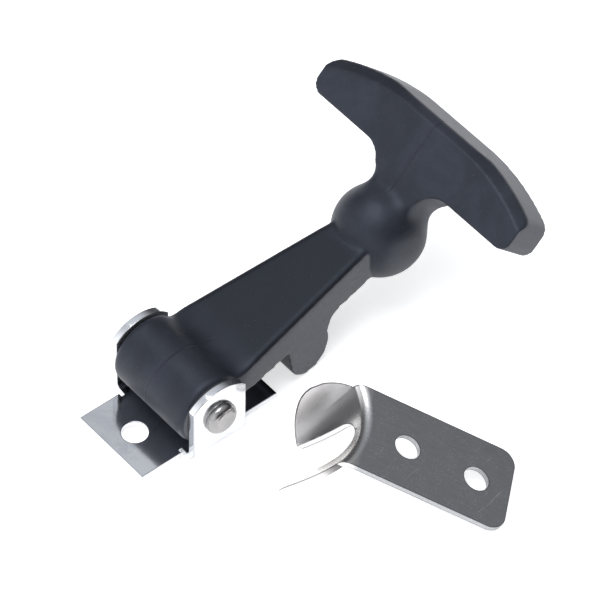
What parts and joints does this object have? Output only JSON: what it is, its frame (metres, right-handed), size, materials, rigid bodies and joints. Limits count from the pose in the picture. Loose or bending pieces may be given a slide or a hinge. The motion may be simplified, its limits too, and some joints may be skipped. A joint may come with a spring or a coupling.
{
  "type": "flexible draw latch",
  "caption": "Flexible rubber draw latch: steel pivot bracket, one-piece T-handle rubber pull and a forked keeper plate.",
  "frame": {"origin": "midway between the bracket's two screw holes, on the bracket's mounting face", "axes": "+X from the bracket towards the grip, +Y along the pivot pin, +Z out of the mounting face"},
  "size_m": [0.0968, 0.0988, 0.041],
  "materials": {
    "bright_steel": "bright nickel plate",
    "black_rubber": "satin moulded rubber",
    "brushed_keeper": "finely brushed, polished at the dish"
  },
  "bodies": {
    "bracket": {"bracket": "bright_steel", "pivot_pin": "bright_steel"},
    "pull": {"rubber_pull": "black_rubber"},
    "keeper": {"keeper": "brushed_keeper"}
  },
  "joints": [
    {"name": "pull_swing", "type": "hinge", "parent": "bracket", "child": "pull", "pos_m": [0, 0, 0.0106], "axis": [0, -1, 0], "range_deg": [0, 160]},
    {"name": "keeper_lift", "type": "slide", "parent": "bracket", "child": "keeper", "axis": [0, 0, 1], "range_m": [0, 0.025]}
  ]
}
